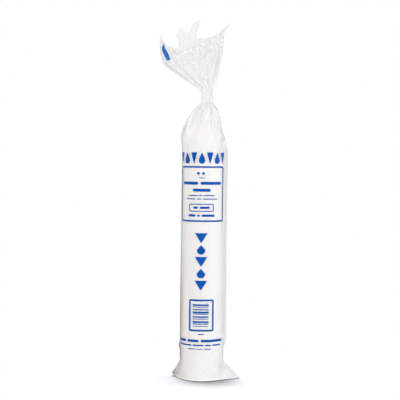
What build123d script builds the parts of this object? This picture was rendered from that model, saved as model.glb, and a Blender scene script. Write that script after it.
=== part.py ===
from build123d import *

import math
import os

# A clear film bag of nested paper cone cups, standing on its sealed end.
# Millimetres. +Z is up, -Y is the printed front and +X is the right as seen from the front.
# The origin lies on the axis of the cups, in the plane that the bag stands on.

# Paper cone cup, mouth down
cup_count = 200
rim_diameter = 70.0
cup_height = 92.0
rim_height = 1.8
rim_width = 1.6
paper_wall = 0.3
tip_radius = 0.6

# Clear film, thicker here than the real one
film_wall = 0.5
film_clearance = 0.4
film_slack = 14.0
pleat_count = 10

# Sealed end: the corners of the seal stand out as ears
seal_angle = -3.0
right_ear_length = 26.5
left_ear_length = 12.4
ear_height = 30.0

# Creases of the flat tube, which run up the two sides of the column from the ears
right_fold_reach = 4.2
left_fold_reach = 1.2
fold_start_height = 46.0
fold_full_height = 75.0

# Shoulder and neck
shoulder_above_rim = 14.0
neck_offset = 4.7
neck_radius = 10.0
neck_gap = 6.3
neck_length = 20.0
neck_pleat_share = 0.28

# Ruff: the open end of the film above the neck, flattened front to back
ruff_height = 115.0
ruff_left_reach = 73.0
ruff_depth = 22.0

# One overrun serves all cuts
overrun = 5.0

# Ear levels: height up the ear and how far its edge still stands out
ear_shares = (
    (0.00, 1.00),
    (0.35, 0.65),
    (0.70, 0.30),
)

# Shoulder levels: height up the shoulder, left and right reach of the tight film, pleat depth
shoulder_shares = (
    (0.26, 1.05, 0.96, 0.04),
    (0.42, 0.96, 0.85, 0.09),
    (0.61, 0.67, 0.73, 0.15),
    (0.83, 0.35, 0.61, 0.22),
)

# Ruff levels: height up the ruff, left and right edge across the flat film, front to back depth
ruff_shares = (
    (0.06, 0.43, 0.76, 0.55),
    (0.20, 0.24, 0.80, 0.73),
    (0.36, 0.04, 0.83, 0.88),
    (0.62, 0.00, 0.87, 0.95),
    (0.81, 0.00, 0.93, 1.00),
    (1.00, 0.00, 1.00, 1.00),
)
ruff_pleat_share = 0.25

# Edge of the mouth, left to right: place across the flat film and height up the ruff
front_mouth_shares = (
    (-0.05, 0.80),
    (0.04, 0.64),
    (0.15, 0.60),
    (0.21, 0.51),
    (0.65, 0.72),
    (0.97, 0.94),
    (1.05, 0.80),
)
back_mouth_shares = (
    (-0.05, 0.84),
    (0.07, 0.64),
    (0.25, 0.66),
    (0.20, 0.80),
    (0.27, 0.89),
    (0.37, 0.83),
    (0.53, 1.00),
    (0.57, 0.74),
    (0.66, 0.74),
    (0.97, 0.94),
    (1.05, 0.80),
)

# Sizes that follow from those above
rim_radius = rim_diameter / 2
wall_foot_radius = rim_radius - rim_width
wall_slope = (wall_foot_radius - tip_radius) / (cup_height - rim_height)
wall_across = paper_wall * math.hypot(1, wall_slope)
mouth_radius = wall_foot_radius + wall_slope * rim_height - wall_across
inner_tip_height = cup_height - paper_wall
inner_tip_radius = tip_radius + wall_slope * paper_wall - wall_across
nest_height = (cup_count - 1) * rim_height
stack_height = film_wall + nest_height + cup_height

tight_radius = rim_radius + film_clearance + film_wall
film_girth = 2 * math.pi * tight_radius + film_slack
film_sides = 4 * pleat_count
neck_base_height = stack_height + neck_gap
neck_top_height = neck_base_height + neck_length
neck_left = neck_offset - neck_radius
neck_right = neck_offset + neck_radius
shoulder_height = film_wall + nest_height + rim_height + shoulder_above_rim
shoulder_rise = neck_base_height - shoulder_height
ruff_left = -ruff_left_reach
ruff_width = film_girth / 2


def turned(profile):
    """A solid of revolution about Z from points of radius and height."""
    outline = Polyline(*profile, close=True)
    return revolve(Plane.XZ * make_face(outline), Axis.Z)


def cup_inside():
    """Points down the inside of a cup, from its tip to its mouth."""
    return [
        (0, inner_tip_height),
        (inner_tip_radius, inner_tip_height),
        (mouth_radius, 0),
    ]


def one_cup():
    """A paper cone with a blunt tip and a rolled rim, mouth down on Z = 0."""
    outside = [
        (rim_radius, 0),
        (rim_radius, rim_height),
        (wall_foot_radius, rim_height),
        (tip_radius, cup_height),
        (0, cup_height),
    ]
    return turned(cup_inside() + outside)


def cup_nest():
    """All cups but the top one: their rims, the mouth of the lowest cup and the cone of the highest."""
    cone_tip_height = nest_height - rim_height + cup_height
    outside = [
        (rim_radius, 0),
        (rim_radius, nest_height),
        (wall_foot_radius, nest_height),
        (tip_radius, cone_tip_height),
        (0, cone_tip_height),
    ]
    return turned(cup_inside() + outside)


def drawn_share(angle, folds):
    """How far film drawn round a circle and out to its two creases reaches, in circle radii.

    The angle is from the right crease, and folds holds how far the right and the left crease reach.
    """
    reach = 1
    for fold_angle, fold_share in zip((0, math.pi), folds):
        away = abs(math.remainder(angle - fold_angle, 2 * math.pi))
        tangent_angle = math.acos(1 / fold_share)
        reach = max(reach, 1 / math.cos(max(tangent_angle - away, 0)))
    return reach


def pleat_depth(half_width, half_depth):
    """Depth of the pleats that take up the film's spare girth round an ellipse."""
    across = 3 * (half_width + half_depth)
    mixed = (3 * half_width + half_depth) * (half_width + 3 * half_depth)
    girth = math.pi * (across - math.sqrt(mixed))
    return math.sqrt(max(film_girth**2 - girth**2, 0)) / (2 * pleat_count)


def film_section(height, left, right, depth, folds=(), pleat_share=0, inset=0):
    """One level of the film: an ellipse with fold edges and pleats, drawn inwards by inset."""
    centre = (left + right) / 2
    half_width = (right - left) / 2
    pleat = pleat_share * pleat_depth(half_width, depth)
    points = []
    for side in range(film_sides):
        from_crease = 2 * math.pi * side / film_sides
        angle = math.radians(seal_angle) + from_crease
        valley = pleat * (1 - math.cos(pleat_count * from_crease)) / 2 + inset
        reach = drawn_share(from_crease, folds)
        x = centre + (half_width - valley) * reach * math.cos(angle)
        y = (depth - valley) * reach * math.sin(angle)
        points.append((x, y, height))
    return make_face(Polyline(*points, close=True))


def round_section(height, folds, inset):
    """A level of the film on the column, tight round the cups apart from its folds."""
    return film_section(
        height, -tight_radius, tight_radius, tight_radius, folds, inset=inset
    )


def crease_shares(right_reach, left_reach):
    """How far the right and the left crease stand, in radii of the tight film."""
    return 1 + right_reach / tight_radius, 1 + left_reach / tight_radius


def column_sections(inset, floor):
    """Levels from the sealed end up to the shoulder."""
    ears = []
    for height_share, reach_share in ear_shares:
        height = floor + height_share * (ear_height - floor)
        reaches = (right_ear_length * reach_share, left_ear_length * reach_share)
        ears.append(round_section(height, crease_shares(*reaches), inset))
    creases = crease_shares(right_fold_reach, left_fold_reach)
    return ears + [
        round_section(ear_height, (), inset),
        round_section(fold_start_height, (), inset),
        round_section(fold_full_height, creases, inset),
        round_section(shoulder_height, creases, inset),
    ]


def shoulder_sections(inset):
    """Levels of the shoulder, where the pleats deepen towards the neck."""
    sections = []
    for height_share, left_share, right_share, pleat_share in shoulder_shares:
        left = -left_share * tight_radius
        right = right_share * tight_radius
        height = shoulder_height + height_share * shoulder_rise
        depth = (right - left) / 2
        sections.append(film_section(height, left, right, depth, (), pleat_share, inset))
    return sections


def neck_section(height, inset=0):
    """A level of the gathered neck."""
    return film_section(
        height, neck_left, neck_right, neck_radius, (), neck_pleat_share, inset
    )


def ruff_sections(inset, rise):
    """Levels of the ruff from just above the neck to past the mouth."""
    sections = []
    for height_share, left_share, right_share, depth_share in ruff_shares:
        height = neck_top_height + height_share * (ruff_height + rise)
        left = ruff_left + left_share * ruff_width
        right = ruff_left + right_share * ruff_width
        depth = depth_share * ruff_depth
        sections.append(film_section(height, left, right, depth, (), ruff_pleat_share, inset))
    return sections


def mouth_trim(mouth_shares, side):
    """What is cut off above one edge of the mouth, on the front (-1) or the back (+1)."""
    top = neck_top_height + ruff_height + 2 * overrun
    edge = [
        (ruff_left + across * ruff_width, neck_top_height + up * ruff_height)
        for across, up in mouth_shares
    ]
    corners = [(edge[-1][0], top), (edge[0][0], top)]
    outline = Plane.XZ * make_face(Polyline(*edge, *corners, close=True))
    return extrude(outline, amount=ruff_depth + overrun, dir=(0, side, 0))


def bag_of_film():
    """The film tube: sealed at its foot, gathered shut at the neck and open at the ruff."""
    outside = loft(
        column_sections(0, 0)
        + shoulder_sections(0)
        + [neck_section(neck_base_height), neck_section(neck_top_height)]
        + ruff_sections(0, 0),
        ruled=True,
    )
    packed_space = loft(
        column_sections(film_wall, film_wall)
        + shoulder_sections(film_wall)
        + [neck_section(neck_base_height - film_wall, film_wall)],
        ruled=True,
    )
    open_mouth = loft(
        [neck_section(neck_top_height + film_wall, film_wall)]
        + ruff_sections(film_wall, overrun),
        ruled=True,
    )
    front_trim = mouth_trim(front_mouth_shares, -1)
    back_trim = mouth_trim(back_mouth_shares, 1)
    return outside - packed_space - open_mouth - front_trim - back_trim


stack_foot = Pos(0, 0, film_wall)
parts = {
    "film_bag": bag_of_film(),
    "nested_cups": stack_foot * cup_nest(),
    "top_cup": stack_foot * Pos(0, 0, nest_height) * one_cup(),
}

os.makedirs("parts", exist_ok=True)
for node, shape in parts.items():
    export_step(shape, f"parts/{node}.step")
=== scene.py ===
"""Look of a clear film bag of nested paper cone cups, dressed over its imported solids.

Lengths are millimetres in the part's own frame: +Z runs up the column, -Y is the printed front and
+X is the right as seen from the front. Meshes become metres when they are made.
"""

from __future__ import annotations

import logging
import math
from dataclasses import dataclass
from enum import Enum

import bmesh
import bpy
import numpy as np
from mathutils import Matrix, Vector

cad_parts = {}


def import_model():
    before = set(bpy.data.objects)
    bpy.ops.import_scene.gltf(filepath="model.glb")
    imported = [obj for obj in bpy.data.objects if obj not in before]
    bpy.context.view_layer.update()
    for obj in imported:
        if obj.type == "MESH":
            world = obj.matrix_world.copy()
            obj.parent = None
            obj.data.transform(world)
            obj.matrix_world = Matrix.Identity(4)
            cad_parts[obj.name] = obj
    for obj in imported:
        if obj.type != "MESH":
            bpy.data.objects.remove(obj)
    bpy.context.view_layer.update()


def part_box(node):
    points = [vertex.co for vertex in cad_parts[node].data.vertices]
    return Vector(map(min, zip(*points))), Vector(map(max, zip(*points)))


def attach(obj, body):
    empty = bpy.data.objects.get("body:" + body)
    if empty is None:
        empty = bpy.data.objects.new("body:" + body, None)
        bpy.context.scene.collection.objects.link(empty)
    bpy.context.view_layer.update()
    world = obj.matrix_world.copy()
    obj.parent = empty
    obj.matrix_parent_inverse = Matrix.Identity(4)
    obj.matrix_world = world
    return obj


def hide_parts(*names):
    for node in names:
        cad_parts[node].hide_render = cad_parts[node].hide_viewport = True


Array = np.ndarray
Colour = tuple[float, float, float, float]
Pair = tuple[np.ndarray, np.ndarray]
Material = bpy.types.Material
Piece = bpy.types.Object
Tree = bpy.types.NodeTree
Node = bpy.types.Node
Socket = bpy.types.NodeSocket

# Metres in a millimetre, and how many millimetres apart two points still count as one
METRES = 0.001
SAME_PLACE = 0.001
BODY = "root"
FILM_SLOT = "clear_film"
PAPER_SLOT = "cup_paper"

log = logging.getLogger("cup_bag")


def linear(hex_colour: str) -> Colour:
    """Turn an sRGB hex colour to linear RGBA.

    Args:
        hex_colour: Six hex digits after a hash.

    Returns:
        Linear red, green, blue and an alpha of one.
    """
    parts = [int(hex_colour[i : i + 2], 16) / 255 for i in (1, 3, 5)]
    low = [p / 12.92 if p <= 0.04045 else ((p + 0.055) / 1.055) ** 2.4 for p in parts]
    return (low[0], low[1], low[2], 1.0)


def add_node(tree: Tree, kind: str, inputs: dict | None = None, **settings) -> Node:
    """Add one node with its settings and links.

    Args:
        tree: The node tree that gets it.
        kind: The node's type name, without the start that all shader nodes share.
        inputs: Socket name or number to a value, or to the output socket that feeds it.
        settings: Properties of the node.

    Returns:
        The new node.
    """
    node = tree.nodes.new("ShaderNode" + kind)
    for name, value in settings.items():
        setattr(node, name, value)
    for name, value in (inputs or {}).items():
        if isinstance(value, Socket):
            tree.links.new(value, node.inputs[name])
        else:
            node.inputs[name].default_value = value
    return node


def empty_material(name: str) -> tuple[Material, Tree]:
    """Make a material with no nodes, and give it with its tree.

    Args:
        name: Its name.

    Returns:
        The material and its node tree.
    """
    material = bpy.data.materials.new(name)
    material.use_nodes = True
    material.node_tree.nodes.clear()
    return material, material.node_tree


def maths(tree: Tree, operation: str, *values: Socket | float, clamp: bool = False) -> Socket:
    """Add a maths node on two or three values, and give its output."""
    sockets = dict(enumerate(values))
    return add_node(tree, "Math", sockets, operation=operation, use_clamp=clamp).outputs[0]


def spread(tree: Tree, share: Socket, low: float, high: float) -> Socket:
    """Add a node that goes from low to high as the share goes from 0 to 1, and give its output."""
    sockets = {"Value": share, "To Min": low, "To Max": high}
    return add_node(tree, "MapRange", sockets).outputs[0]


def blend(tree: Tree, share: Socket, first: Socket | str, second: Socket | str) -> Socket:
    """Add a mix of two colours, each a socket or a hex colour, and give its output.

    Args:
        tree: The node tree that gets the nodes.
        share: How far from the first to the second, from 0 to 1.
        first: What a share of 0 gives.
        second: What a share of 1 gives.

    Returns:
        The mixed colour.
    """
    ends = [linear(end) if isinstance(end, str) else end for end in (first, second)]
    sockets = {0: share, 6: ends[0], 7: ends[1]}
    return add_node(tree, "Mix", sockets, data_type="RGBA").outputs[2]


def noise(tree: Tree, size: float, detail: float) -> Socket:
    """Add noise with patches of that many millimetres, fixed to the part, and give its value.

    Args:
        tree: The node tree that gets the nodes.
        size: Size of a patch.
        detail: How many finer layers of noise lie over it.

    Returns:
        Values from 0 to 1.
    """
    place = add_node(tree, "TexCoord").outputs["Object"]
    sockets = {"Vector": place, "Scale": 1 / (size * METRES), "Detail": detail}
    return add_node(tree, "TexNoise", sockets).outputs["Fac"]


def dent(tree: Tree, height: Socket, depth: float, strength: float) -> Socket:
    """Add a bump of that many millimetres, and give its normal."""
    sockets = {"Height": height, "Strength": strength, "Distance": depth * METRES}
    return add_node(tree, "Bump", sockets).outputs[0]


def mixed(tree: Tree, share: Socket, first: Node, second: Node) -> Node:
    """Add a mix of two shaders."""
    sockets = {0: share, 1: first.outputs[0], 2: second.outputs[0]}
    return add_node(tree, "MixShader", sockets)


def eased(at: Array, knots: Array, values: Array) -> Array:
    """Read a smooth curve through a table of values.

    Between two knots it is a cubic. The slope at a knot is the harmonic mean of the slopes on both
    sides, or level where they differ in sign, so the curve doesn't pass its own values.

    Args:
        at: Where to read.
        knots: Rising places of the values.
        values: One value for each knot.

    Returns:
        The curve's values, in the shape of at.
    """
    run = np.diff(knots)
    rise = np.diff(values) / run
    both = rise[:-1] * rise[1:]
    mean = 2 * both / np.where(both > 0, rise[:-1] + rise[1:], 1)
    slope = np.concatenate(([rise[0]], np.where(both > 0, mean, 0), [rise[-1]]))
    at = np.clip(at, knots[0], knots[-1])
    i = np.clip(np.searchsorted(knots, at, side="right") - 1, 0, len(run) - 1)
    s = (at - knots[i]) / run[i]
    start = (1 + 2 * s) * (1 - s) ** 2 * values[i] + s * (1 - s) ** 2 * run[i] * slope[i]
    end = s * s * (3 - 2 * s) * values[i + 1] + s * s * (s - 1) * run[i] * slope[i + 1]
    return start + end


def ramp(at: Array, start: float, end: float) -> Array:
    """Ease from 0 at start to 1 at end, as three times the square less twice the cube."""
    share = np.clip((at - start) / (end - start), 0, 1)
    return share * share * (3 - 2 * share)


def between(at: Array, start: float, full: float, fall: float, end: float) -> Array:
    """Ease from 0 at start to 1 at full, and from 1 at fall back to 0 at end."""
    return ramp(at, start, full) * (1 - ramp(at, fall, end))


def bell(at: Array, middle: float, width: float) -> Array:
    """Give a bump of height 1: the exponential of minus the squared distance in widths."""
    return np.exp(-(((at - middle) / width) ** 2))


def soft_noise(turn: Array, height: Array, around: int, rise: float, seed: int) -> Array:
    """Give smooth noise that closes round the tube.

    Random values stand on a lattice with a whole number of cells in a turn, and are eased between.

    Args:
        turn: Angle round the tube in radians.
        height: Height in millimetres.
        around: Cells in one turn.
        rise: Height of a cell in millimetres.
        seed: Seed of the random values.

    Returns:
        Values from -1 to 1.
    """
    levels = 97
    table = np.random.default_rng(seed).uniform(-1, 1, (around, levels))
    across, up = turn / (2 * np.pi) * around, height / rise
    i, j = np.floor(across).astype(int), np.floor(up).astype(int)
    p, q = ramp(across - i, 0, 1), ramp(up - j, 0, 1)
    low = table[i % around, j % levels] * (1 - p) + table[(i + 1) % around, j % levels] * p
    j = j + 1
    high = table[i % around, j % levels] * (1 - p) + table[(i + 1) % around, j % levels] * p
    return low * (1 - q) + high * q


def crumple(
    arc: Array,
    height: Array,
    girth: float,
    box: tuple[float, float],
    count: int,
    stretch: float,
    seed: int,
) -> Array:
    """Give bowls with sharp ridges between them, as crushed film has.

    Seeds lie at random over the tube, and the value is the squared distance to the nearest one.

    Args:
        arc: Distance round the tube.
        height: Height up the tube.
        girth: Length of one turn.
        box: Lowest and highest seed.
        count: How many seeds.
        stretch: How much longer than wide a bowl is.
        seed: Seed of the random places.

    Returns:
        Values from 0 at a seed to about 1 on a ridge.
    """
    rng = np.random.default_rng(seed)
    seeds = rng.uniform((0, box[0]), (girth, box[1]), (count, 2))
    cell = math.sqrt(girth * (box[1] - box[0]) / count / stretch)
    nearest = np.full(arc.shape, np.inf)
    for place, level in seeds:
        across = np.abs(arc - place)
        across = np.minimum(across, girth - across)
        nearest = np.minimum(nearest, across**2 + ((height - level) / stretch) ** 2)
    return np.clip(nearest / (0.5 * cell * cell), 0, 1.6)


def grid_faces(rows: int, columns: int, closed: bool) -> Array:
    """Give the quads of a grid of points, row by row, which may close on itself across a row.

    Args:
        rows: Rows of points.
        columns: Points in a row.
        closed: Whether the last column joins the first.

    Returns:
        Rows of four point numbers.
    """
    row = np.arange(rows - 1)[:, None] * columns
    here = np.arange(columns if closed else columns - 1)[None, :]
    beside = (here + 1) % columns
    corners = (row + here, row + beside, row + columns + beside, row + columns + here)
    return np.stack(corners, -1).reshape(-1, 4)


def revolved(radius: Array, height: Array, sides: int, drift: Array | None = None) -> Array:
    """Carry a profile round the axis.

    Args:
        radius: Rows of the profile, each with one radius or with one for each side.
        height: Height of each row.
        sides: Points in one turn.
        drift: Sideways shift of each row, two to a row.

    Returns:
        Points, one row of them for each row of the profile.
    """
    turn = np.linspace(0, 2 * np.pi, sides, endpoint=False)
    x, y = radius * np.cos(turn), radius * np.sin(turn)
    if drift is not None:
        x, y = x + drift[:, :1], y + drift[:, 1:]
    return np.stack((x, y, np.broadcast_to(height[:, None], x.shape)), -1).reshape(-1, 3)


def make_piece(name: str, points: Array, faces: Array, material: Material) -> Piece:
    """Make a smooth-shaded object at the origin.

    Args:
        name: The piece's name.
        points: Corners in millimetres, three to a row.
        faces: Quads as rows of point numbers.
        material: What it is made of.

    Returns:
        The linked object.
    """
    mesh = bpy.data.meshes.new(name)
    mesh.from_pydata((points * METRES).tolist(), [], faces.tolist())
    mesh.polygons.foreach_set("use_smooth", np.ones(len(mesh.polygons), bool))
    mesh.materials.append(material)
    mesh.update()
    piece = bpy.data.objects.new(name, mesh)
    bpy.context.scene.collection.objects.link(piece)
    return piece


def merge_doubles(piece: Piece) -> None:
    """Merge the points of a piece that lie in the same place.

    Args:
        piece: The piece.
    """
    work = bmesh.new()
    work.from_mesh(piece.data)
    bmesh.ops.remove_doubles(work, verts=work.verts, dist=SAME_PLACE * METRES)
    work.to_mesh(piece.data)
    work.free()


@dataclass(frozen=True)
class FilmFinish:
    """Blown low-density polyethylene film: clear and glossy, darker where it is seen on edge.

    A little scatter makes it a hazy grey, and where it is pressed or gathered it turns white. Its
    shadow is pale, because most of the light that it scatters goes on through it. It also carries
    painted shade, which darkens and browns it along its left crease, and painted highlights and
    painted light in places.
    """

    name: str = "ldpe_film"
    haze_colour: str = "#E2E2E5"
    # White of pressed film, and also of the painted highlights and painted light
    pressed_and_painted_white: str = "#FBFBFC"
    edge_colour: str = "#625E5B"
    # Painted shade: the brown that the film's edge turns to where the shade attribute is high
    shade_colour: str = "#5E4424"
    edge_power: float = 3.3
    shade_power: float = 2.45
    edge_cover: float = 0.9
    shadow_share: float = 0.55
    ior: float = 1.51
    sheen: float = 0.5
    most_gloss: float = 0.3
    # Painted shade: the most gloss that is left where the shade attribute is full
    shade_gloss: float = 0.12
    roughness: float = 0.13
    ripple_size: float = 6.0
    ripple_depth: float = 0.2
    ripple_strength: float = 0.5

    def build(self) -> Material:
        """Make the material.

        Three attributes of the film steer it: haze says how milky it is, the next how white it is from
        pressing, painted light and painted shade, and shade is painted shade: how early it darkens as it
        turns on edge, where it also browns and loses its gloss.

        Returns:
            The film's material.
        """
        material, tree = empty_material(self.name)
        ripple = noise(tree, self.ripple_size, 2.0)
        normal = dent(tree, ripple, self.ripple_depth, self.ripple_strength)
        haze, press_and_painted_light, shade = (
            add_node(tree, "Attribute", attribute_name=name).outputs["Fac"]
            for name in ("haze", "press_and_painted_light", "shade")
        )
        facing = add_node(tree, "LayerWeight", {"Blend": 0.5, "Normal": normal})
        power = maths(tree, "MULTIPLY_ADD", shade, -self.shade_power, self.edge_power)
        edge = maths(tree, "POWER", facing.outputs["Facing"], power)
        cover = maths(tree, "MULTIPLY_ADD", edge, self.edge_cover, haze, clamp=True)
        shadow = add_node(tree, "LightPath").outputs["Is Shadow Ray"]
        stopped = maths(tree, "MULTIPLY", cover, spread(tree, shadow, 1.0, self.shadow_share))
        milk = blend(tree, press_and_painted_light, self.haze_colour, self.pressed_and_painted_white)
        # Painted shade: the edge colour turns brown where the shade attribute is high
        dark = blend(tree, shade, self.edge_colour, self.shade_colour)
        body = add_node(
            tree,
            "BsdfPrincipled",
            {
                "Base Color": blend(tree, edge, milk, dark),
                "Roughness": self.roughness * 2,
                "IOR": self.ior,
                # Painted shade: the reflection fades out where the shade attribute is high
                "Specular IOR Level": spread(tree, shade, self.sheen, 0.0),
                "Normal": normal,
            },
        )
        hazy = mixed(tree, stopped, add_node(tree, "BsdfTransparent"), body)
        fresnel = add_node(tree, "Fresnel", {"IOR": self.ior, "Normal": normal})
        most_gloss = spread(tree, shade, self.most_gloss, self.shade_gloss)
        gloss = maths(tree, "MINIMUM", fresnel.outputs[0], most_gloss)
        sockets = {"Roughness": self.roughness, "Normal": normal}
        film = mixed(tree, gloss, hazy, add_node(tree, "BsdfGlossy", sockets))
        add_node(tree, "OutputMaterial", {"Surface": film.outputs[0]})
        return material


@dataclass(frozen=True)
class PaperFinish:
    """Uncoated white cup paper: matt, with a soft fibre mottle too fine to show, so drawn coarser."""

    name: str = "cup_paper"
    colour: str = "#F7F6F5"
    shade: str = "#EFEEEC"
    roughness: float = 0.75
    mottle_size: float = 5.0
    fibre_size: float = 1.4
    fibre_depth: float = 0.08
    fibre_strength: float = 0.4

    def build(self) -> Material:
        """Make the material.

        Returns:
            The paper's material.
        """
        material, tree = empty_material(self.name)
        colour = blend(tree, noise(tree, self.mottle_size, 3.0), self.shade, self.colour)
        fibre = noise(tree, self.fibre_size, 2.0)
        normal = dent(tree, fibre, self.fibre_depth, self.fibre_strength)
        sockets = {"Base Color": colour, "Roughness": self.roughness, "Normal": normal}
        paper = add_node(tree, "BsdfPrincipled", sockets)
        add_node(tree, "OutputMaterial", {"Surface": paper.outputs[0]})
        return material


@dataclass(frozen=True)
class InkFinish:
    """Flexographic ink on film: a glossy blue that lies unevenly, as a rubber plate leaves it."""

    name: str = "flexo_ink_blue"
    deep: str = "#003089"
    thin: str = "#0062BA"
    roughness: float = 0.45
    ior: float = 1.5
    sheen: float = 0.2
    patch_size: float = 6.0

    def build(self) -> Material:
        """Make the material.

        Returns:
            The ink's material.
        """
        material, tree = empty_material(self.name)
        sockets = {
            "Base Color": blend(tree, noise(tree, self.patch_size, 3.0), self.deep, self.thin),
            "Roughness": self.roughness,
            "IOR": self.ior,
            "Specular IOR Level": self.sheen,
        }
        ink = add_node(tree, "BsdfPrincipled", sockets)
        add_node(tree, "OutputMaterial", {"Surface": ink.outputs[0]})
        return material


@dataclass
class CupColumn:
    """The nested cups, mouth down: a rolled rim for each cup, and the bare cone of the top one."""

    rim_radius: float
    foot: float
    top_rim: float
    tip: float
    rim_height: float = 1.8
    rim_width: float = 1.6
    paper_wall: float = 0.3
    tip_radius: float = 0.6
    sides: int = 72
    bead_rows: int = 5
    bead_swing: float = 1.05
    cone_rows: int = 56
    wander: float = 0.12
    wave: float = 0.12
    seam_angle: float = -115.0
    seam_step: float = 0.35
    seam_fade: float = 0.35
    seam_start: float = 0.06
    seed: int = 4

    def bead(self, count: int) -> Pair:
        """Give the radius and height up one rolled rim, an arc that stands out from the wall.

        Args:
            count: Points up the rim.

        Returns:
            Radii and heights, from the bottom up.
        """
        swing = np.linspace(-self.bead_swing, self.bead_swing, count)
        half = self.rim_height / 2
        return self.rim_radius - half + half * np.cos(swing), half + half * np.sin(swing)

    def build_nest(self, paper: Material) -> Piece:
        """Make all cups but the top one: the lowest cup's inside, every rim and the last cone.

        Args:
            paper: Material of the cups.

        Returns:
            The piece.
        """
        rims = round((self.top_rim - self.foot) / self.rim_height)
        bead_radius, bead_height = self.bead(self.bead_rows)
        levels = self.foot + np.arange(rims)[:, None] * self.rim_height + bead_height
        wall_foot = self.rim_radius - self.rim_width
        cup = self.tip - self.top_rim
        inside, cone = [self.tip_radius, wall_foot - self.paper_wall], [wall_foot, self.tip_radius]
        radius = np.concatenate((inside, np.tile(bead_radius, rims), cone))
        inside, cone = [self.foot + cup - 1, self.foot], [self.top_rim, self.tip - self.rim_height]
        height = np.concatenate((inside, levels.ravel(), cone))
        rng = np.random.default_rng(self.seed)
        shifts = rng.uniform(-self.wander, self.wander, (rims, 2)).repeat(self.bead_rows, 0)
        drift = np.concatenate((np.zeros((2, 2)), shifts, np.zeros((2, 2))))
        points = revolved(radius[:, None], height, self.sides, drift)
        return make_piece("nested_cups_rims", points, grid_faces(len(radius), self.sides, True), paper)

    def build_top(self, paper: Material) -> Piece:
        """Make the top cup: a rolled rim and a cone whose overlap makes a small step down one side.

        Args:
            paper: Material of the cups.

        Returns:
            The piece.
        """
        bead_radius, bead_height = self.bead(self.bead_rows + 4)
        up = np.linspace(0, 1, self.cone_rows)
        wall_foot = self.rim_radius - self.rim_width
        cone_radius = wall_foot + (self.tip_radius - wall_foot) * up
        cone_height = self.top_rim + self.rim_height + (self.tip - self.top_rim - self.rim_height) * up
        radius = np.concatenate((bead_radius, cone_radius, [0.01]))
        height = np.concatenate((self.top_rim + bead_height, cone_height, [self.tip]))
        turn = np.linspace(0, 2 * np.pi, self.sides, endpoint=False)[None, :]
        past_seam = np.mod(turn - math.radians(self.seam_angle), 2 * np.pi)
        fade = ramp(up, 0, self.seam_start) * (1 - up)
        on_cone = np.concatenate((np.zeros(len(bead_radius)), fade, [0]))[:, None]
        step = self.seam_step * np.exp(-past_seam / self.seam_fade) * on_cone
        turns, levels = np.broadcast_arrays(turn, height[:, None])
        waves = self.wave * soft_noise(turns, levels, 36, 60.0, 8) * on_cone
        points = revolved(radius[:, None] + step + waves, height, self.sides)
        return make_piece("top_cup_cone", points, grid_faces(len(radius), self.sides, True), paper)


def from_creases(turn: Array) -> Pair:
    """Give the angle from the right crease of the film, and from the left one."""
    return np.minimum(turn, 2 * np.pi - turn), np.abs(turn - np.pi)


def front_half(turn: Array, blur: float = 0.1) -> Array:
    """Give 1 on the front of the film and 0 on its back, with a soft change at the creases."""
    return ramp(np.sin(turn), blur, -blur)


@dataclass(frozen=True)
class Fold:
    """A narrow fold along a slanting line on the film.

    It runs from a lower height and turn to a higher one, stands out by so much, has a width in
    radians, and carries a painted highlight that makes it whiter than the film round it (up to 1),
    or painted shade that makes it greyer (down to -1). Half the height over which each end fades
    comes last.
    """

    low: float
    low_turn: float
    high: float
    high_turn: float
    out: float
    width: float
    white: float
    fade: float = 6.0

    def line(self, turn: Array, height: Array) -> Array:
        """Give a bell across the line, which fades out at its two ends.

        Args:
            turn: Angle round the film from the right crease, in radians.
            height: Height up the film.

        Returns:
            Values from 0 to 1.
        """
        share = (height - self.low) / (self.high - self.low)
        middle = self.low_turn + (self.high_turn - self.low_turn) * share
        ends = (end + way * self.fade for end in (self.low, self.high) for way in (-1, 1))
        return between(height, *ends) * bell(turn, middle, self.width)


@dataclass(frozen=True)
class WrinkleSizes:
    """How far each kind of wrinkle in the film stands out, in millimetres.

    The last two are shares: what the tiniest bowls count beside the small ones, and what the creases
    take away from both.
    """

    waves: float = 0.10
    right_waves: float = 0.35
    left_waves: float = 0.2
    left_bulge: float = 1.8
    foot_pulls: float = 0.35
    gathers: float = 0.3
    right_gathers: float = 0.9
    ruff_folds: float = 0.5
    right_ruff_folds: float = 0.6
    big_bowls: float = 0.1
    front_big_bowls: float = 0.7
    bowls: float = 0.02
    front_bowls: float = 0.3
    right_bowls: float = 0.7
    tiny_share: float = 0.8
    crease_calm: float = 0.93


@dataclass(frozen=True)
class HazeShares:
    """What each part and mark of the film adds to its haze, or takes from it."""

    plain: float = 0.12
    shoulder: float = 0.1
    neck: float = 0.3
    ruff: float = -0.22
    right_ear: float = 0.5
    left_ear: float = 0.35
    cling: float = 0.26
    foot: float = 0.5
    hem: float = 0.9
    back_flap: float = 0.3
    edge: float = 0.75
    second_line: float = 0.2
    folds: float = 0.65
    big_ridges: float = 0.14
    ridges: float = 0.1
    right_ridges: float = 0.16
    right_tiny_ridges: float = 0.16
    right_bowls: float = -0.08


@dataclass(frozen=True)
class PressAndPaintedLightShares:
    """What each part and mark of the film adds to its whiteness, or takes from it."""

    neck: float = 0.4
    cling: float = 0.55
    # Painted light: white on the front of the foot that lifts the shade near the floor
    foot: float = 0.2
    right_ear: float = 0.1
    # Painted shade: less white where the right ear leaves the cups, against the strong light there
    right_ear_root_shade: float = -0.7
    # Painted highlights: broken white runs along the front's cut edge, for the glints on it
    painted_edge_glints: float = 1.5


@dataclass(frozen=True)
class ShadeShares:
    """What each crease adds to the painted shade, how early the film darkens, or takes from it."""

    left: float = 1.15
    left_high: float = -0.85
    left_ear: float = -0.38
    right: float = -0.35
    right_ear: float = -0.3


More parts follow.
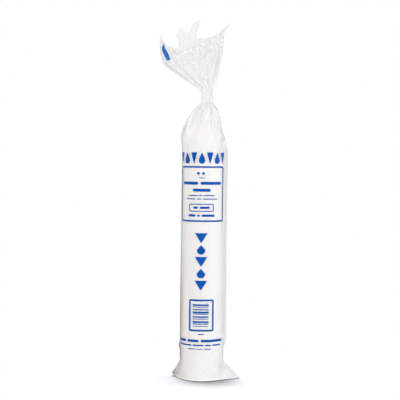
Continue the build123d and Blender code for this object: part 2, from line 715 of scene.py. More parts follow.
@dataclass
class FilmBag:
    """The film tube: sealed at its foot, drawn round the cups, gathered at a neck and open above."""

    rim_radius: float
    top_rim: float
    tip: float
    ruff_left: float
    top: float
    right_ear_tip: float
    clearance: float = 0.9
    slack: float = 14.0
    pleats: int = 10
    seal_angle: float = -3.0
    left_ear: float = 12.4
    left_ear_lift: float = 6.0
    left_ear_back: float = 15.0
    right_ear_lift: float = 1.4
    right_ear_fore: float = 6.0
    ear_height: float = 30.0
    right_fold: float = 3.7
    left_fold: float = 0.2
    fold_start: float = 43.0
    fold_full: float = 68.0
    shoulder_above_rim: float = 15.8
    neck_offset: float = 4.7
    neck_radius: float = 10.0
    neck_gap: float = 6.3
    neck_length: float = 20.0
    ruff_depth: float = 22.0
    ruff_half: float = 0.43
    edge_roll: float = 1.2
    edge_reach: float = 1.4
    hem_lip: float = 1.5
    hem_rise: float = 1.0
    hem_height: float = 3.0
    # Height where the foot's haze has faded and its painted light starts to fade
    foot_reach: float = 55.0
    flap_lean: float = 7.0
    columns: int = 400
    floor_lift: float = 0.3
    seal_haze: float = 0.9
    most_haze: float = 0.97
    # Height up the ear, and how far its edge still stands out
    ear_shares: tuple = ((0.0, 1.0), (0.35, 0.65), (0.7, 0.3), (1.0, 0.0))
    # Height up the shoulder, left, right and depth in radii of the tight film, and pleat depth
    shoulder_shares: tuple = (
        (0.26, 1.05, 0.96, 0.975, 0.4),
        (0.42, 0.98, 0.85, 0.89, 1.0),
        (0.61, 0.80, 0.785, 0.70, 1.8),
        (0.83, 0.47, 0.64, 0.48, 2.6),
    )
    neck_pleat: float = 2.0
    flare_left: float = 5.0
    flare_right: float = 0.8
    flare_height: float = 7.0
    # Height up the ruff, left and right across the flat film, share of its depth, and pleat depth
    ruff_shares: tuple = (
        (0.06, 0.43, 0.76, 0.55, 2.8),
        (0.20, 0.24, 0.80, 0.73, 2.0),
        (0.36, 0.04, 0.83, 0.88, 1.4),
        (0.62, 0.00, 0.865, 0.95, 0.9),
        (0.78, 0.00, 0.875, 1.00, 0.6),
        (0.86, 0.00, 0.905, 1.00, 0.5),
        (0.93, 0.00, 0.955, 1.00, 0.4),
        (1.00, 0.00, 1.00, 1.00, 0.4),
    )
    # A white fold carries a painted highlight along it, a grey one painted shade
    folds: tuple = (
        Fold(402, 3.92, 453, 3.68, 1.2, 0.06, 1.0),
        Fold(412, 4.02, 453, 3.80, -0.6, 0.04, -1.0),
        Fold(408, 3.78, 448, 3.57, -0.4, 0.04, -1.0),
        Fold(408, 5.87, 425, 6.00, 1.0, 0.06, 1.0),
        Fold(425, 6.00, 444, 5.68, 1.0, 0.06, 1.0),
        Fold(404, 5.44, 430, 5.36, -0.5, 0.11, -0.6),
        Fold(428, 5.31, 456, 5.18, -0.6, 0.04, -1.0),
        Fold(437, 5.51, 458, 5.86, -0.6, 0.04, -1.0),
        Fold(60, 3.42, 230, 3.40, 0.7, 0.04, 0.0),
        Fold(515, 4.02, 536, 3.86, 2.0, 0.03, 1.0),
    )
    wrinkle: WrinkleSizes = WrinkleSizes()
    milk: HazeShares = HazeShares()
    white: PressAndPaintedLightShares = PressAndPaintedLightShares()
    dark: ShadeShares = ShadeShares()
    # Places across the flat film, and the height of the cut edge there
    front_mouth: tuple = (
        (-0.05, 0.04, 0.15, 0.22, 0.406, 0.536, 0.618, 0.74, 0.836, 0.955, 1.05),
        (0.80, 0.64, 0.58, 0.486, 0.54, 0.62, 0.656, 0.715, 0.785, 0.945, 0.85),
    )
    back_mouth: tuple = (
        (-0.05, 0.07, 0.17, 0.25, 0.268, 0.29, 0.325, 0.338, 0.37, 0.395)
        + (0.418, 0.45, 0.537, 0.555, 0.607, 0.678, 0.749, 0.811, 0.955, 1.05),
        (0.84, 0.64, 0.59, 0.60, 0.80, 0.86, 0.90, 0.895, 0.83, 0.825)
        + (0.94, 0.965, 1.02, 0.755, 0.736, 0.755, 0.783, 0.83, 0.945, 0.85),
    )

    def __post_init__(self) -> None:
        """Work out the sizes that follow from the fields, and the table of levels."""
        self.tilt = math.radians(self.seal_angle)
        self.tight = self.rim_radius + self.clearance
        self.girth = 2 * math.pi * self.tight + self.slack
        self.shoulder = self.top_rim + self.shoulder_above_rim
        self.neck_base = self.tip + self.neck_gap
        self.neck_top = self.neck_base + self.neck_length
        self.ruff_height = self.top - self.neck_top
        self.flat_width = self.girth / 2
        self.right_ear = self.right_ear_tip - self.tight
        self.levels = self.level_table()
        self.swings = np.linspace(0, 2 * np.pi, 2001)
        half = self.ruff_half * self.flat_width
        stretch = np.hypot(half * np.sin(self.swings), self.ruff_depth * np.cos(self.swings))
        gone = np.concatenate(([0], np.cumsum((stretch[1:] + stretch[:-1]) / 2)))
        self.arcs = gone / gone[-1] * self.girth

    def arc(self, turn: Array) -> Array:
        """Give the distance round the film from the right crease, as it lies in the ruff."""
        return np.interp(turn, self.swings, self.arcs)

    def level(self, height: Array, *columns: int) -> list[Array]:
        """Read columns of the table of levels at those heights."""
        return [eased(height, self.levels[:, 0], self.levels[:, i]) for i in columns]

    def level_table(self) -> Array:
        """Give rows of height, left, right, depth, right and left crease reach and pleat depth.

        Returns:
            One row for each level, from the foot up.
        """
        r = self.tight
        rows = [
            (up * self.ear_height, -r, r, r, out * self.right_ear, out * self.left_ear, 0)
            for up, out in self.ear_shares
        ]
        rows.append((self.fold_start, -r, r, r, 0, 0, 0))
        rows += [
            (z, -r, r, r, self.right_fold, self.left_fold, 0) for z in (self.fold_full, self.shoulder)
        ]
        for up, left, right, depth, pleat in self.shoulder_shares:
            z = self.shoulder + up * (self.neck_base - self.shoulder)
            rows.append((z, -left * r, right * r, depth * r, 0, 0, pleat))
        near, far = self.neck_offset - self.neck_radius, self.neck_offset + self.neck_radius
        rows += [
            (z, near, far, self.neck_radius, 0, 0, self.neck_pleat)
            for z in (self.neck_base, self.neck_top - self.flare_height)
        ]
        near, far = near - self.flare_left, far + self.flare_right
        rows.append((self.neck_top, near, far, self.neck_radius, 0, 0, self.neck_pleat))
        for up, left, right, depth, pleat in self.ruff_shares:
            z = self.neck_top + up * self.ruff_height
            west, east = (self.ruff_left + share * self.flat_width for share in (left, right))
            rows.append((z, west, east, depth * self.ruff_depth, 0, 0, pleat))
        return np.array(rows, float)

    def drawn(self, turn: Array, crease: float, reach: Array) -> Array:
        """Give how far film drawn from the tight circle out to a crease stands, in circle radii.

        It is the straight line that touches the circle: one over the cosine of the angle that is
        left to the point of touch, and one past that point.

        Args:
            turn: Angle round the film from the right crease, in radians.
            crease: Angle of the crease.
            reach: How far the crease stands out from the circle.

        Returns:
            Values from 1 up.
        """
        away = np.abs(np.mod(turn - crease + np.pi, 2 * np.pi) - np.pi)
        touch = np.arccos(1 / (1 + reach / self.tight))
        return 1 / np.cos(np.maximum(touch - away, 0))

    def reaches(self, turn: Array, height: Array) -> Pair:
        """Give how far the film stands for its right crease and for its left one, in circle radii."""
        right, left = self.level(height, 4, 5)
        return self.drawn(turn, 0, right), self.drawn(turn, np.pi, left)

    def wrinkles(self, turn: Array, height: Array, gap: Array | float) -> Array:
        """Give how far the film's wrinkles stand out from its plain form.

        The column has long upright waves, mostly beside the creases, and a bulge low on the left. The
        foot has slanting pulls and a lip. The shoulder has gathers up to the neck, and narrow folds. The
        ruff has bowls with sharp ridges, most on the right of its front, and its cut edge rolls outwards.

        Args:
            turn: Angle round the film from the right crease, in radians.
            height: Height up the film.
            gap: How far below the cut edge the film is.

        Returns:
            Millimetres outwards.
        """
        arc = self.arc(turn)
        right, left = from_creases(turn)
        column = between(height, 30, 70, self.shoulder - 10, self.shoulder + 15)
        waves = soft_noise(turn, height, 40, 70.0, 11)
        size = self.wrinkle
        depth = size.waves + size.right_waves * bell(right, 0, 0.35)
        depth += size.left_waves * bell(left, 0, 0.3)
        out = column * waves * depth
        out += size.left_bulge * bell(height, 53, 4) * bell(left, 0, 0.35)
        foot = bell(height, 15, 10) * bell(turn, 1.5 * np.pi + 0.25, 0.35)
        out += size.foot_pulls * foot * np.sin((arc + 1.2 * height) / 2.2)
        shoulder = (self.shoulder - 8, self.shoulder + 25, self.neck_base - 12, self.neck_base)
        gathers = soft_noise(turn, height, 28, 26.0, 21)
        depth = size.gathers + size.right_gathers * bell(right, 0.5, 0.8)
        out += between(height, *shoulder) * gathers * depth
        for fold in self.folds:
            out += fold.out * fold.line(turn, height)
        out += self.hem_lip * self.hem(turn, height)
        up = height > self.neck_top - 4
        out[up] += self.crush(turn[up], height[up], arc[up])
        front = 0.1 + 0.9 * front_half(turn)
        out += self.edge_roll * front * np.exp(-((gap / self.edge_reach) ** 2))
        return out

    def in_front(self, turn: Array) -> Array:
        """Give 1 on the front of the foot, easing to 0 at the ears."""
        return bell(turn, 1.5 * np.pi + 0.05, 1.15)

    def hem(self, turn: Array, height: Array) -> Array:
        """Give 1 at the bottom of the front, where the seal's lip stands out, easing to 0 above it."""
        return (1 - ramp(height, 0, self.hem_height)) * ramp(np.sin(turn), 0, -0.3)

    def crush(self, turn: Array, height: Array, arc: Array) -> Array:
        """Give how far the crushed film of the ruff stands out.

        Upright folds carry bowls of three sizes. The bowls are deepest on the right of the front, and
        the smaller ones are shallow along both creases.

        Args:
            turn: Angle round the film from the right crease, in radians.
            height: Height up the film.
            arc: Distance round the film from the right crease.

        Returns:
            Millimetres outwards.
        """
        ruff, rightwards, big, small, tiny = self.bowls(turn, height, arc)
        front = front_half(turn, 0.15)
        folds = soft_noise(turn, height, 26, 120.0, 33)
        crease = np.minimum(*from_creases(turn))
        size = self.wrinkle
        fine = size.bowls + size.front_bowls * front + size.right_bowls * rightwards
        fine *= 1 - size.crease_calm * bell(crease, 0, 0.4)
        out = (size.ruff_folds + size.right_ruff_folds * rightwards) * folds
        out += (size.big_bowls + size.front_big_bowls * front) * (big - 0.5)
        return ruff * (out + fine * (small + size.tiny_share * tiny - 0.9))

    def bowls(self, turn: Array, height: Array, arc: Array) -> tuple[Array, ...]:
        """Give the reach of the crush, its share on the right of the front, and bowls of three sizes.

        Args:
            turn: Angle round the film from the right crease, in radians.
            height: Height up the film.
            arc: Distance round the film from the right crease.

        Returns:
            Five grids, the last three from 0 in a bowl to about 1 on a ridge.
        """
        span = (self.neck_top, self.top)
        ruff = ramp(height, self.neck_top - 4, self.neck_top + 30)
        rightwards = front_half(turn, 0.15) * ramp(np.cos(turn), -0.5, 0.3)
        sizes = ((60, 1.9, 31), (420, 1.3, 32), (1500, 1.1, 34))
        cells = [crumple(arc, height, self.girth, span, *size) for size in sizes]
        return ruff, rightwards, *cells

    def surface(self, turn: Array, height: Array, gap: Array | float = np.inf) -> Array:
        """Give points of the film.

        Each level is an ellipse between its left and right reach. The creases stand out from it, the
        pleats are cosine valleys in it, and the wrinkles move it along its own outward direction.

        Args:
            turn: Angle from the right crease, in radians.
            height: Height before the ears and the hem are lifted.
            gap: How far below the cut edge the film is.

        Returns:
            Points in millimetres, in a last axis of three.
        """
        west, east, depth, pleat = self.level(height, 1, 2, 3, 6)
        angle = turn + self.tilt
        half = (east - west) / 2
        sway = 0.9 * soft_noise(turn, height, 9, 90.0, 51)
        valley = pleat * (1 - np.cos(self.pleats * turn + sway)) / 2
        valley += 0.22 * pleat * (1 - np.cos(27 * turn - 2 * sway)) / 2
        right_reach, left_reach = self.reaches(turn, height)
        reach = np.maximum(right_reach, left_reach)
        out = self.wrinkles(turn, height, gap)
        across, along = np.cos(angle) * depth, np.sin(angle) * half
        norm = np.hypot(across, along)
        x = (west + east) / 2 + (half - valley) * reach * np.cos(angle) + out * across / norm
        y = (depth - valley) * reach * np.sin(angle) + out * along / norm
        low = 1 - ramp(height, 0, self.ear_height)
        left_far = low * np.clip((left_reach - 1) * self.tight / self.left_ear, 0, 1) ** 1.5
        right_far = low * np.clip((right_reach - 1) * self.tight / self.right_ear, 0, 1) ** 1.5
        y += self.left_ear_back * left_far - self.right_ear_fore * right_far
        behind = ramp(np.sin(angle), 0.3, 0.5) * (1 - ramp(np.cos(angle), -0.3, -0.05))
        x -= self.flap_lean * behind * ramp(height, self.neck_top + 75, self.neck_top + 92)
        z = height + self.left_ear_lift * left_far + self.right_ear_lift * right_far
        z += self.hem_rise * self.hem(turn, height)
        return np.stack((x, y, z), -1)

    def mouth(self, turn: Array) -> Array:
        """Give the height of the cut edge of the ruff at each angle.

        Args:
            turn: Angle round the film from the right crease, in radians.

        Returns:
            Heights in millimetres.
        """
        angle = turn + self.tilt
        edge = np.full(turn.shape, self.neck_top + 0.7 * self.ruff_height)
        for _ in range(4):
            west, east = self.level(edge, 1, 2)
            x = (west + east) / 2 + (east - west) / 2 * np.cos(angle)
            share = (x - self.ruff_left) / self.flat_width
            front, back = (np.interp(share, *cut) for cut in (self.front_mouth, self.back_mouth))
            up = np.where(np.sin(angle) < 0, front, back)
            edge = self.neck_top + up * self.ruff_height
        return edge

    def edge_gap(self, turn: Array, height: Array, edge: Array) -> Array:
        """Give the distance of film from the cut edge, measured on the flattened tube.

        Args:
            turn: Angle from the right crease.
            height: Height up the film.
            edge: Height of the cut edge at each column.

        Returns:
            The least distance to points spread along the edge, four to a column.
        """
        arc = self.arc(turn)
        column = np.arange(0, self.columns, 0.25)
        levels = np.interp(column, np.arange(self.columns + 1), np.append(edge, edge[0]))
        nearest = np.full(arc.shape, np.inf)
        for place, level in zip(column * self.girth / self.columns, levels):
            nearest = np.minimum(nearest, (arc - place) ** 2 + (height - level) ** 2)
        return np.sqrt(nearest)

    def haze(self, turn: Array, height: Array, gap: Array) -> Array:
        """Give how milky the film is.

        It is most so at the pressed seal and the cut edge, then at the ears, along the folds, where the
        film clings to the cups, in the neck and on the ridges of the ruff.

        Args:
            turn: Angle round the film from the right crease, in radians.
            height: Height up the film.
            gap: How far below the cut edge the film is.

        Returns:
            Values from 0 to 1.
        """
        right_far, left_far = ((reach - 1) * self.tight for reach in self.reaches(turn, height))
        low = 1 - ramp(height, self.ear_height - 6, self.ear_height + 6)
        cling = self.cling(turn, height)
        milk = self.milk
        shoulder = ramp(height, self.shoulder - 5, self.shoulder + 30)
        value = milk.plain + milk.shoulder * shoulder * (1 - cling)
        value += milk.neck * ramp(height, self.neck_base - 20, self.neck_base)
        value += milk.ruff * ramp(height, self.neck_top, self.neck_top + 30)
        value += low * (milk.right_ear * ramp(right_far, 0, 8) + milk.left_ear * ramp(left_far, 0, 5))
        foot = self.in_front(turn) * (1 - ramp(height, 1, self.foot_reach))
        value += milk.cling * cling + milk.foot * foot + milk.hem * self.hem(turn, height)
        back = ramp(np.sin(turn), -0.1, 0.2) * ramp(height, self.neck_top + 25, self.neck_top + 50)
        edge = np.exp(-gap / (1.3 * self.edge_reach)) * (1 - 0.9 * back)
        value += milk.back_flap * back + milk.edge * edge
        value += milk.second_line * bell(gap, 4, 1.5) * front_half(turn)
        # The painted highlights and painted shade along the folds are milkier too
        for fold in self.folds:
            value += milk.folds * abs(fold.white) * fold.line(turn, height)
        up = height > self.neck_top - 4
        ruff, rightwards, big, small, tiny = self.bowls(turn[up], height[up], self.arc(turn[up]))
        ridges = (milk.ridges + milk.right_ridges * rightwards) * ramp(small, 0.4, 1.1)
        ridges += milk.big_ridges * ramp(big, 0.5, 1.1)
        ridges += milk.right_tiny_ridges * rightwards * ramp(tiny, 0.4, 1.1)
        ridges += milk.right_bowls * rightwards
        value[up] += ruff * ridges * (1 - 0.8 * back[up])
        return np.clip(value, 0, self.most_haze)

    def cling(self, turn: Array, height: Array) -> Array:
        """Give 1 on the front below the neck, where the film clings to the cups, and 0 round it."""
        return ramp(np.sin(turn), -0.2, -0.45) * (1 - ramp(height, self.neck_base - 20, self.neck_base))

    def press_and_painted_light(self, turn: Array, height: Array, gap: Array) -> Array:
        """Give how white the film is, from pressing and from painted light.

        It is whitest on the hem. The front of the foot is white too, as painted light that lifts the
        shade near the floor. Then it is white where it clings to the cups and in the neck. Painted
        highlights whiten some folds and runs of the cut edge, and painted shade greys other folds. It is
        a little white on the right ear, but painted shade takes that white from where the ear leaves the
        cups.

        Args:
            turn: Angle round the film from the right crease, in radians.
            height: Height up the film.
            gap: How far below the cut edge the film is.

        Returns:
            Values from 0 to 1.
        """
        neck = between(height, self.neck_base - 15, self.neck_base, self.neck_top, self.neck_top + 20)
        white = self.white
        value = white.neck * neck + white.cling * self.cling(turn, height) + self.hem(turn, height)
        # Painted light: white on the front of the foot that lifts the shade near the floor
        foot = 1 - ramp(height, self.foot_reach, 2 * self.foot_reach)
        value += white.foot * self.in_front(turn) * foot
        right, _ = from_creases(turn)
        ear = 1 - ramp(height, self.ear_height - 6, self.ear_height)
        value += white.right_ear * bell(right, 0, 0.9) * ear
        # Painted shade: less white where the right ear leaves the cups, against the strong light there
        value += white.right_ear_root_shade * bell(right, 0.48, 0.15) * ear
        # Painted highlights: broken white runs along the front's cut edge, for the glints on it
        runs = ramp(soft_noise(turn, height, 48, 40.0, 61), -0.2, 0.3) * front_half(turn)
        value += white.painted_edge_glints * runs * np.exp(-gap / (1.7 * self.edge_reach))
        # Painted highlights along the white folds, painted shade along the grey ones
        for fold in self.folds:
            value += fold.white * fold.line(turn, height)
        return np.clip(value, 0, 1)

    def shade(self, turn: Array, height: Array) -> Array:
        """Give painted shade: how early the film darkens on edge.

        It is early on the left crease, for the shade on the bag's left side, the more so towards the
        foot but less on the left ear, and late in the ruff and on the right, most of all on the right
        ear, which keeps those edges lighter.

        Args:
            turn: Angle round the film from the right crease, in radians.
            height: Height up the film.

        Returns:
            Values from about -1 to 1.
        """
        right, left = from_creases(turn)
        ear = 1 - ramp(height, self.ear_height - 6, self.ear_height + 6)
        dark = self.dark
        early = dark.left + dark.left_high * ramp(height, 100, 330) + dark.left_ear * ear
        column = bell(left, 0, 0.75) * early + bell(right, 0, 0.9) * (dark.right + dark.right_ear * ear)
        column *= 1 - ramp(height, self.shoulder - 30, self.shoulder)
        return column - ramp(height, self.neck_top, self.neck_top + 20)

    def rows(self) -> Pair:
        """Give the fixed heights of the lower rows, and the shares of the rows up to the mouth.

        Returns:
            Heights in millimetres, and shares from 0 to 1.
        """
        last = self.neck_top + 38
        spans = (
            (0, self.hem_height, 6),
            (self.hem_height, self.ear_height, 12),
            (self.ear_height, self.fold_full, 14),
            (self.fold_full, self.shoulder, 30),
            (self.shoulder, self.neck_base, 58),
            (self.neck_base, self.neck_top, 12),
            (self.neck_top, last, 36),
        )
        fixed = np.concatenate([np.linspace(a, b, n, endpoint=False) for a, b, n in spans])
        shares = np.concatenate((np.linspace(0, 0.975, 54)[1:], np.linspace(0.98, 1, 7)))
        return np.append(fixed, last), shares

    def build(self, film: Material) -> Piece:
        """Make the film: the flat seal under the foot, then the tube up to the cut edge.

        Args:
            film: Material of the film.

        Returns:
            The piece, with its haze, press and shade as attributes.
        """
        turn = np.interp(np.arange(self.columns) * self.girth / self.columns, self.arcs, self.swings)
        fixed, shares = self.rows()
        edge = self.mouth(turn)
        upper = fixed[-1] + shares[:, None] * (edge - fixed[-1])
        heights = np.concatenate((np.repeat(fixed[:, None], self.columns, 1), upper))
        turns = np.broadcast_to(turn, heights.shape)
        gap = np.full(heights.shape, np.inf)
        gap[len(fixed) :] = self.edge_gap(turns[len(fixed) :], upper, edge)
        tube = self.surface(turns, heights, gap)
        tube[..., 2] = np.maximum(tube[..., 2], self.floor_lift)
        under = self.seal_under(tube[0])
        points = np.concatenate((under, tube)).reshape(-1, 3)
        faces = grid_faces(len(under) + len(tube), self.columns, True)
        piece = make_piece("film_tube", points, faces, film)
        layers = {
            "haze": self.haze(turns, heights, gap),
            "press_and_painted_light": self.press_and_painted_light(turns, heights, gap),
            "shade": self.shade(turns, heights),
        }
        for name, rows in layers.items():
            sealed = np.repeat(rows[:1], len(under), 0)
            if name == "haze":
                sealed = np.maximum(sealed, self.seal_haze)
            layer = piece.data.attributes.new(name, "FLOAT", "POINT")
            layer.data.foreach_set("value", np.concatenate((sealed, rows)).ravel())
        merge_doubles(piece)
        return piece

    def seal_under(self, rim: Array) -> Array:
        """Give rows under the foot: its edge drawn in to the seal line, straight across the crease.

        Args:
            rim: Points round the lowest row of the tube.

        Returns:
            Points in millimetres, one row of them for each step inwards.
        """
        inward = np.linspace(1, 0, 6, endpoint=False)[:, None]
        cos, sin = math.cos(self.tilt), math.sin(self.tilt)
        along = rim[:, 0] * cos + rim[:, 1] * sin
        aside = (rim[:, 1] * cos - rim[:, 0] * sin) * (1 - inward)
        x, y = along * cos - aside * sin, along * sin + aside * cos
        return np.stack((x, y, rim[:, 2] + 0 * inward), -1)

    def on_ruff(self, across: Array, height: Array, lift: float) -> Array:
        """Put print on the front of the ruff.

        Args:
            across: Place from left to right.
            height: Height up the film.
            lift: How far in front of the film the print stands.

        Returns:
            Points in millimetres.
        """
        west, east = self.level(height, 1, 2)
        share = np.clip((2 * across - west - east) / (east - west), -1, 1)
        turn = 2 * np.pi - np.arccos(share) - self.tilt
        points = self.surface(turn, height)
        points[..., 1] -= lift
        return points

    def on_front(self, across: Array, height: Array, lift: float) -> Array:
        """Put print on the film.

        Args:
            across: Distance round the tight film from its front line, to the right.
            height: Height up the film.
            lift: How far off the film the print stands.

        Returns:
            Points in millimetres.
        """
        turn = across / self.tight + 1.5 * np.pi - self.tilt
        points = self.surface(np.mod(turn, 2 * np.pi), height)
        radius = np.hypot(points[..., 0], points[..., 1])
        points[..., :2] *= (1 + lift / radius)[..., None]
        return points


@dataclass
class Print:
    """The blue print on the front: plain shapes, frames and rows of bars."""

    film: FilmBag
    centre: float = -2.5
    lift: float = 0.2
    step: float = 1.2
    # Places across, heights and widths along the wedge
    wedge_path: tuple = (
        (-58.6, -60.6, -64.2, -67.2, -68.6, -67.8),
        (522.4, 526.8, 533.6, 539.2, 544.6, 549.4),
        (5.4, 6.4, 7.2, 5.6, 3.6, 0.8),
    )

    def bar(self, left: float, right: float, low: float, high: float) -> Pair:
        """Give a filled rectangle as a grid of across and height.

        Args:
            left: Left end.
            right: Right end.
            low: Lower end.
            high: Upper end.

        Returns:
            Grids of across and height.
        """
        columns = max(2, math.ceil((right - left) / self.step) + 1)
        rows = max(2, math.ceil((high - low) / self.step) + 1)
        return np.meshgrid(np.linspace(left, right, columns), np.linspace(low, high, rows))

    def frame(
        self, left: float, right: float, low: float, high: float, line: float, corner: float
    ) -> Pair:
        """Give a line round a rectangle with rounded corners.

        The path is four quarter circles joined by straight runs, and the line has two edges, inside
        and outside it.

        Args:
            left: Left end.
            right: Right end.
            low: Lower end.
            high: Upper end.
            line: Width of the line.
            corner: Radius of the path at a corner.

        Returns:
            Grids of across and height.
        """
        quarter = np.linspace(0, np.pi / 2, 9)
        swing = np.concatenate([quarter + i * np.pi / 2 for i in range(4)])
        middle_x = np.repeat((right - corner, left + corner, left + corner, right - corner), 9)
        middle_z = np.repeat((high - corner, high - corner, low + corner, low + corner), 9)
        x, z = middle_x + corner * np.cos(swing), middle_z + corner * np.sin(swing)
        x, z, swing = (np.append(v, v[0]) for v in (x, z, swing))
        gone = np.concatenate(([0], np.cumsum(np.hypot(np.diff(x), np.diff(z)))))
        at = np.union1d(gone, np.arange(0, gone[-1], self.step))
        angle = np.interp(at, gone, np.unwrap(np.append(swing[:-1], 2 * np.pi)))
        x, z = np.interp(at, gone, x), np.interp(at, gone, z)
        edge = np.array((-0.5, 0.5))[:, None] * line
        return x - edge * np.cos(angle), z - edge * np.sin(angle)

    def drop(self, across: float, low: float, width: float, height: float) -> Pair:
        """Give a water drop: a circle below whose upper half is drawn up to a point.

        Args:
            across: Its middle, from left to right.
            low: Lower end.
            width: Greatest width.
            height: Height from end to end.

        Returns:
            Grids of across and height.
        """
        turn = np.linspace(0, 2 * np.pi, 33)
        out = np.linspace(0.02, 1, 5)[:, None]
        radius = width / 2
        x = radius * np.sin(turn) * np.where(np.cos(turn) > 0, (1 - np.cos(turn)) ** 0.55, 1)
        drawn_up = (height - radius) * np.abs(np.cos(turn)) ** 1.1
        rise = np.where(np.cos(turn) > 0, drawn_up, radius * np.cos(turn))
        return across + out * x, low + radius + out * rise

    def cone(self, across: float, low: float, width: float, height: float) -> Pair:
        """Give a cone cup, point down: its width grows evenly with height.

        Args:
            across: Its middle, from left to right.
            low: Lower end.
            width: Greatest width.
            height: Height from end to end.

        Returns:
            Grids of across and height.
        """
        up = np.linspace(0, 1, 12)[:, None]
        aside = np.linspace(-0.5, 0.5, 10)[None, :]
        return across + aside * width * (0.06 + 0.94 * up), low + height * up + 0 * aside

    def pill(self, left: float, right: float, low: float, high: float) -> Pair:
        """Give a bar with round ends: its half height falls as a circle does near each end.

        Args:
            left: Left end.
            right: Right end.
            low: Lower end.
            high: Upper end.

        Returns:
            Grids of across and height.
        """
        radius = (high - low) / 2
        ends = radius * (1 - np.cos(np.linspace(0, np.pi / 2, 7)))
        count = max(2, math.ceil((right - left) / self.step))
        middle = np.linspace(left + radius, right - radius, count)
        across = np.concatenate((left + ends[:-1], middle, (right - ends[:-1])[::-1]))
        inside = np.clip(np.minimum(across - left, right - across) / radius, 0.003, 1)
        half = radius * np.sqrt(1 - (1 - inside) ** 2)
        up = np.linspace(-1, 1, 3)[:, None]
        return across + 0 * up, (low + high) / 2 + up * half

    def bar_row(self, left: float, low: float, high: float, lengths: tuple) -> list[Pair]:
        """Give a row of bars with round ends, of those lengths, with an even gap between them.

        Args:
            left: Left end.
            low: Lower end.
            high: Upper end.
            lengths: Length of each bar.

        Returns:
            One pair of grids for each bar.
        """
        gap = 0.6 * (high - low) + 1.0
        starts = left + np.concatenate(([0], np.cumsum(np.array(lengths[:-1]) + gap)))
        return [self.pill(at, at + length, low, high) for at, length in zip(starts, lengths)]

    def piece(self, name: str, shapes: list, ink: Material) -> Piece:
        """Join flat shapes into one piece on the film.

        Args:
            name: Its name.
            shapes: Grids of across and height.
            ink: Material of the print.

        Returns:
            The piece.
        """
        points, faces, start = [], [], 0
        for across, height in shapes:
            laid = self.film.on_front(across + self.centre, height, self.lift).reshape(-1, 3)
            points.append(laid)
            faces.append(grid_faces(*across.shape, False) + start)
            start += len(laid)
        return make_piece(name, np.concatenate(points), np.concatenate(faces), ink)

    def wedge(self, ink: Material) -> Piece:
        """Make the slip of print on the left flap of the ruff: a curved wedge, narrow at its top.

        Args:
            ink: Material of the print.

        Returns:
            The piece.
        """
        path = np.array(self.wedge_path)
        up = np.linspace(path[1, 0], path[1, -1], 30)[:, None]
        middle, width = eased(up, path[1], path[0]), eased(up, path[1], path[2])
        aside = np.linspace(-0.5, 0.5, 6)[None, :]
        points = self.film.on_ruff(middle + aside * width, up + 0.35 * width * aside, 6 * self.lift)
        return make_piece("print_wedge", points.reshape(-1, 3), grid_faces(30, 6, False), ink)

    def lines(self, *rows: tuple) -> list[Pair]:
        """Give the bars of several rows, each told by its left end, low, high and lengths."""
        return [bar for row in rows for bar in self.bar_row(*row)]

    def build(self, ink: Material, thin_ink: Material) -> list[Piece]:
        """Make the print from the top band to the rows above the foot.

        Args:
            ink: Material of the print.
            thin_ink: Material of the paler wedge.

        Returns:
            The pieces.
        """
        shapes = (self.cone, self.drop)
        across = np.linspace(-40, 40, 7)
        band = [shapes[i % 2](x, 353.0, 11.0, 18.5) for i, x in enumerate(across)]
        label = [self.frame(-41.5, 41.5, 260.0, 347.8, 2.7, 3.5)]
        label += self.lines(
            (-8.0, 335.0, 339.6, (4.6, 4.6)),
            (-5.0, 329.4, 330.8, (9.5,)),
            (-36.0, 319.0, 323.8, (30.0, 38.0)),
            (-15.0, 307.8, 312.6, (30.0,)),
            (-23.0, 300.6, 302.2, (17.0, 5.0, 19.0)),
            (-28.0, 295.0, 296.6, (18.0, 8.0, 26.0)),
        )
        label += [self.frame(-21, 20, 276, 287.3, 1.6, 2.4)]
        label += self.lines(
            (-14.0, 279.8, 283.6, (8.0, 16.0)),
            (-23.0, 267.0, 270.8, (13.0, 3.8, 22.0)),
        )
        lows = np.linspace(148.0, 225.0, 5)
        marks = [shapes[i % 2](0.0, low, (21.0, 14.0)[i % 2], 15.5) for i, low in enumerate(lows)]
        bars = [self.frame(-18.5, 21, 82.5, 131.5, 2.9, 1.6)]
        tops = np.linspace(125, 90, 10)
        thick = (2.6, 1.2, 1.8, 3.0, 1.2, 2.2, 1.2, 2.8, 1.6, 1.2)
        bars += [self.bar(-13, 13.5, top - t, top) for top, t in zip(tops, thick)]
        foot = self.lines(
            (-4.0, 75.6, 77.0, (10.0,)),
            (-43.0, 63.6, 67.6, (17.0, 20.0, 41.0)),
            (-41.0, 57.2, 59.6, (26.0, 18.0, 10.0, 18.0)),
            (-21.0, 51.6, 53.0, (14.0, 10.0, 12.0)),
        )
        groups = {
            "print_band": band,
            "print_label": label,
            "print_marks": marks,
            "print_bars": bars,
            "print_foot_rows": foot,
        }
        laid = [self.piece(name, shapes, ink) for name, shapes in groups.items()]
        return laid + [self.wedge(thin_ink)]


class LampUse(Enum):
    """What a lamp is for: light on all, a glint in gloss alone, or light on the floor alone."""

    LIGHT = "light"
    GLINT = "glint"
    FLOOR = "floor"


